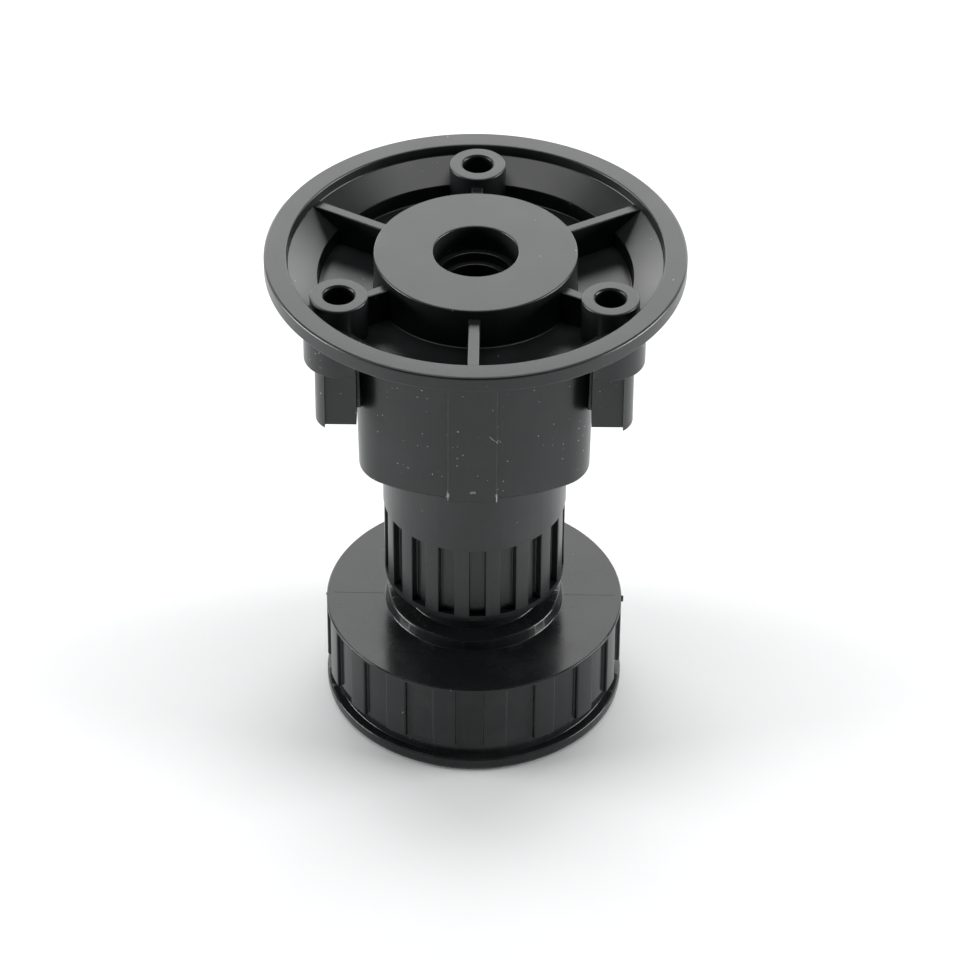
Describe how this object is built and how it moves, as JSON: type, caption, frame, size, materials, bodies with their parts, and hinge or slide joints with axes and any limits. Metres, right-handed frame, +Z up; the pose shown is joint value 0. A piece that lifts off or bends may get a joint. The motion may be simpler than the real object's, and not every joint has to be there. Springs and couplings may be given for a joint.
{
  "type": "adjustable cabinet leg",
  "caption": "Height-adjustable plastic cabinet leg: round screw-on flange with a socket, a fluted tube plugged into it, and a wide castellated foot on a threaded stem.",
  "frame": {"origin": "centre of the foot's bottom, on the floor that it stands on", "axes": "+Z up along the leg's axis towards the cabinet, front at -Y, which is the side the picture shows"},
  "size_m": [0.076, 0.076, 0.1],
  "materials": {
    "flange_plastic": "satin moulded black",
    "tube_plastic": "satin moulded black",
    "foot_plastic": "satin moulded black"
  },
  "bodies": {
    "flange": {"mounting_flange": "flange_plastic"},
    "tube": {"leg_tube": "tube_plastic"},
    "foot": {"adjusting_foot": "foot_plastic"}
  },
  "joints": [
    {"name": "tube_turn", "type": "hinge", "parent": "flange", "child": "tube", "pos_m": [0, 0, 0.061], "axis": [0, 0, 1], "range_deg": [-400, 1795]},
    {"name": "foot_height", "type": "slide", "parent": "flange", "child": "foot", "axis": [0, 0, -1], "range_m": [-0.0045, 0.02]}
  ],
  "couplings": [
    {"joint": "foot_height", "follows": "tube_turn", "m_per_rad": 0.00063662}
  ]
}
